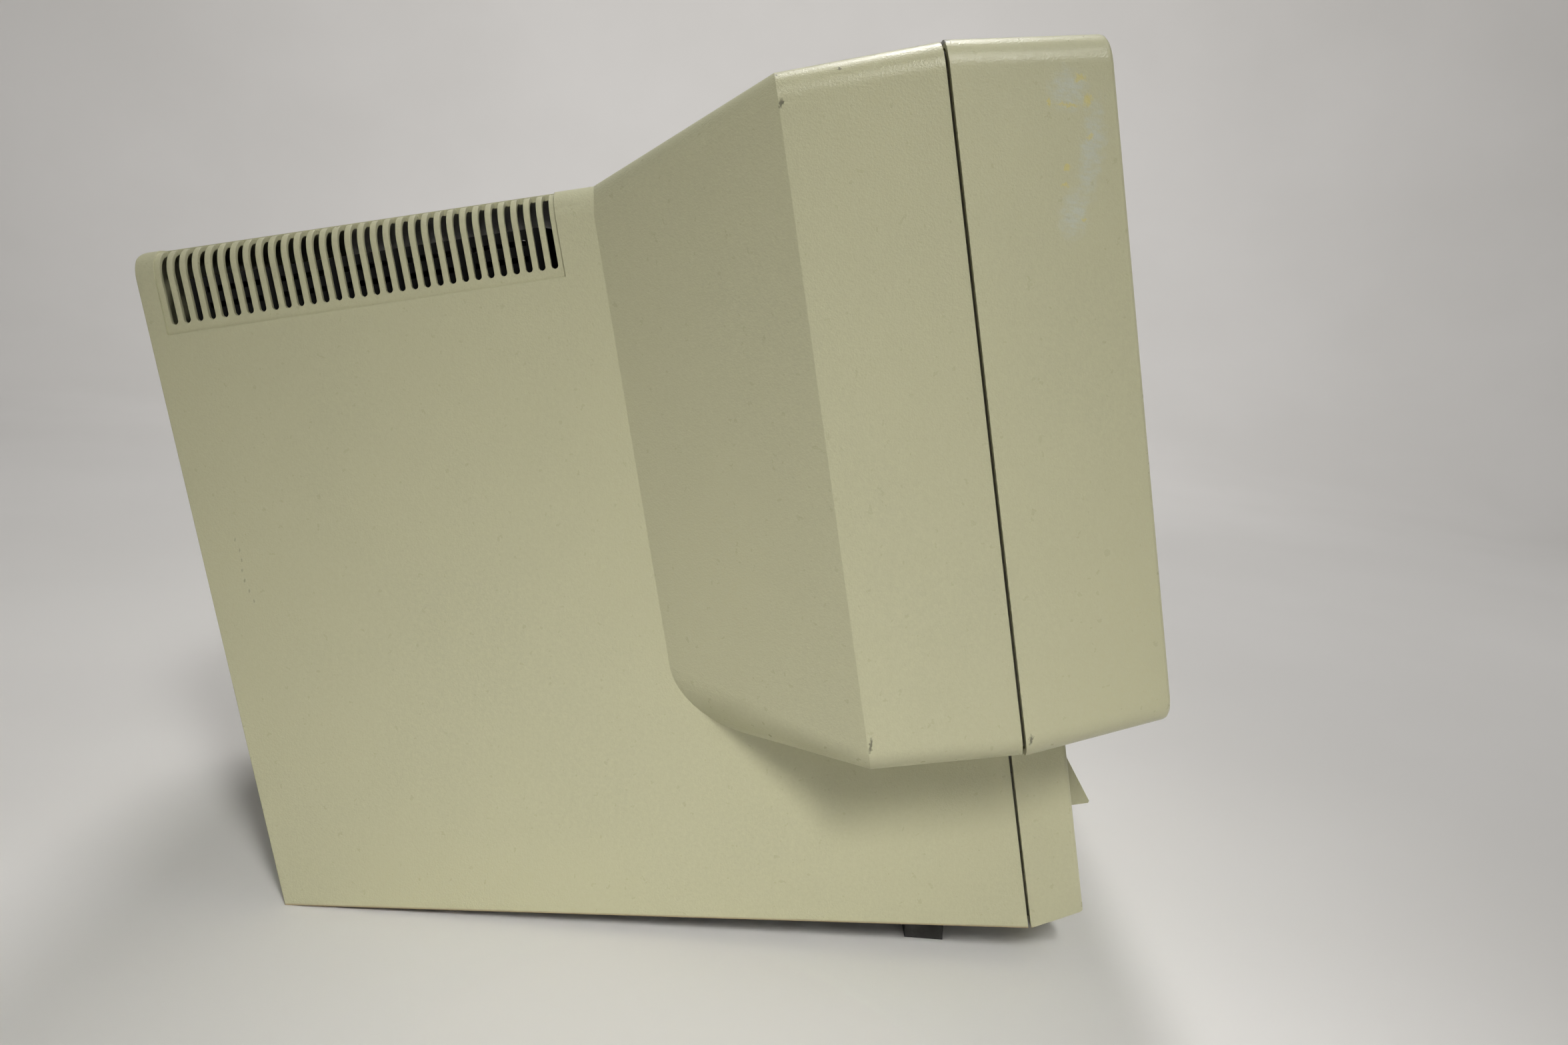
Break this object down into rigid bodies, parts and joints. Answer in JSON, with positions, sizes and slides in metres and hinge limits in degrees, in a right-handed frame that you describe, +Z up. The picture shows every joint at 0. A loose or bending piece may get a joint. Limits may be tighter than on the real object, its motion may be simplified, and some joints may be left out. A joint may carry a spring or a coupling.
{
  "type": "cathode ray tube computer monitor",
  "caption": "Desktop colour CRT computer monitor with a wide tilted head on a narrow wedge-shaped body, side vents and a flip-down control door.",
  "frame": {"origin": "centre of the bounding box footprint, on the desk plane", "axes": "the screen faces -Y, +X is to the right of a viewer facing the screen, +Z up"},
  "size_m": [0.367, 0.467, 0.4211],
  "materials": {
    "case_front": "fine grain",
    "case_rear": "fine grain",
    "tray_plastic": "galvanised",
    "door_plastic": "fine grain",
    "black_plastic": "satin",
    "white_plastic": "satin",
    "blue_plastic": "gloss",
    "capacitor_sleeve": "shrink sleeve",
    "led_lens": "clear lens",
    "rubber_foot": "matt",
    "rubber_black": "taped",
    "rubber_red": "satin",
    "wire_insulation": "wire sleeve",
    "cable_sheath": "sheath",
    "steel_plate": "zinc plated",
    "screw_steel": "zinc plated",
    "nickel_shell": "nickel plated",
    "brass_blade": "bright",
    "aluminium_sink": "mill finish",
    "screen_glass": "tinted glass",
    "neck_glass": "clear",
    "graphite_coat": "graphite paint",
    "mask_steel": "blackened",
    "gun_metal": "dull",
    "copper_wire": "enamelled copper",
    "ferrite": "sintered",
    "green_board": "solder mask",
    "brown_board": "phenolic",
    "transformer_tape": "film tape",
    "fuse_glass": "clear",
    "blank_label": "satin film"
  },
  "bodies": {
    "case": {"front_frame": "case_front", "rear_housing": "case_rear", "base_tray": "tray_plastic", "door_pins": "screw_steel", "power_switch": "black_plastic", "power_led": "led_lens", "potentiometers": "blue_plastic", "control_board": "green_board", "front_feet": "rubber_foot", "foot_screws": "screw_steel", "case_screws": "screw_steel", "crt_panel": "screen_glass", "crt_funnel": "graphite_coat", "crt_neck": "neck_glass", "shadow_mask": "mask_steel", "electron_gun": "gun_metal", "implosion_band": "steel_plate", "crt_screws": "screw_steel", "degauss_coil": "rubber_black", "anode_cap": "rubber_red", "anode_lead": "rubber_red", "yoke_coils": "copper_wire", "yoke_core": "ferrite", "yoke_former": "white_plastic", "yoke_clamp": "steel_plate", "ring_magnets": "black_plastic", "crt_socket": "white_plastic", "neck_board": "brown_board", "neck_harness": "wire_insulation", "main_board": "brown_board", "flyback_case": "black_plastic", "flyback_core": "ferrite", "power_transformer": "transformer_tape", "capacitors": "capacitor_sleeve", "heat_sink": "aluminium_sink", "output_sink": "aluminium_sink", "transistors": "black_plastic", "board_coils": "copper_wire", "fuse": "fuse_glass", "connector_plate": "steel_plate", "mains_inlet": "black_plastic", "inlet_blades": "brass_blade", "signal_shell": "nickel_shell", "signal_insert": "black_plastic", "jack_posts": "screw_steel", "mains_harness": "wire_insulation", "signal_harness": "cable_sheath", "board_screws": "screw_steel", "rating_plate": "blank_label", "inner_shield": "mask_steel"},
    "door": {"control_door": "door_plastic"},
    "button": {"power_button": "door_plastic", "switch_plunger": "black_plastic"},
    "brightness": {"brightness_knob": "black_plastic"},
    "contrast": {"contrast_knob": "black_plastic"},
    "position": {"position_knob": "black_plastic"},
    "width": {"width_knob": "black_plastic"},
    "hold": {"hold_knob": "black_plastic"},
    "focus": {"focus_knob": "white_plastic"},
    "screen": {"screen_knob": "white_plastic"}
  },
  "joints": [
    {"name": "door_hinge", "type": "hinge", "parent": "case", "child": "door", "pos_m": [0, -0.19864, 0.10559], "axis": [-1, 0, 0], "range_deg": [0, 80]},
    {"name": "button_press", "type": "slide", "parent": "case", "child": "button", "axis": [0, 0.9744, -0.225], "range_m": [0, 0.004], "stiffness_N_per_m": 500, "springref_m": -0.002},
    {"name": "brightness_turn", "type": "hinge", "parent": "case", "child": "brightness", "pos_m": [-0.076, -0.19577, 0.08912], "axis": [0, 0.9744, -0.225], "range_deg": [-140, 140]},
    {"name": "contrast_turn", "type": "hinge", "parent": "case", "child": "contrast", "pos_m": [-0.038, -0.19577, 0.08912], "axis": [0, 0.9744, -0.225], "range_deg": [-140, 140]},
    {"name": "position_turn", "type": "hinge", "parent": "case", "child": "position", "pos_m": [0, -0.19577, 0.08912], "axis": [0, 0.9744, -0.225], "range_deg": [-140, 140]},
    {"name": "width_turn", "type": "hinge", "parent": "case", "child": "width", "pos_m": [0.038, -0.19577, 0.08912], "axis": [0, 0.9744, -0.225], "range_deg": [-140, 140]},
    {"name": "hold_turn", "type": "hinge", "parent": "case", "child": "hold", "pos_m": [0.076, -0.19577, 0.08912], "axis": [0, 0.9744, -0.225], "range_deg": [-140, 140]},
    {"name": "focus_turn", "type": "hinge", "parent": "case", "child": "focus", "pos_m": [0.063, 0.01211, 0.05213], "axis": [0, -0.9988, 0.0488], "range_deg": [-135, 135]},
    {"name": "screen_turn", "type": "hinge", "parent": "case", "child": "screen", "pos_m": [0.081, 0.01211, 0.05213], "axis": [0, -0.9988, 0.0488], "range_deg": [-135, 135]}
  ]
}
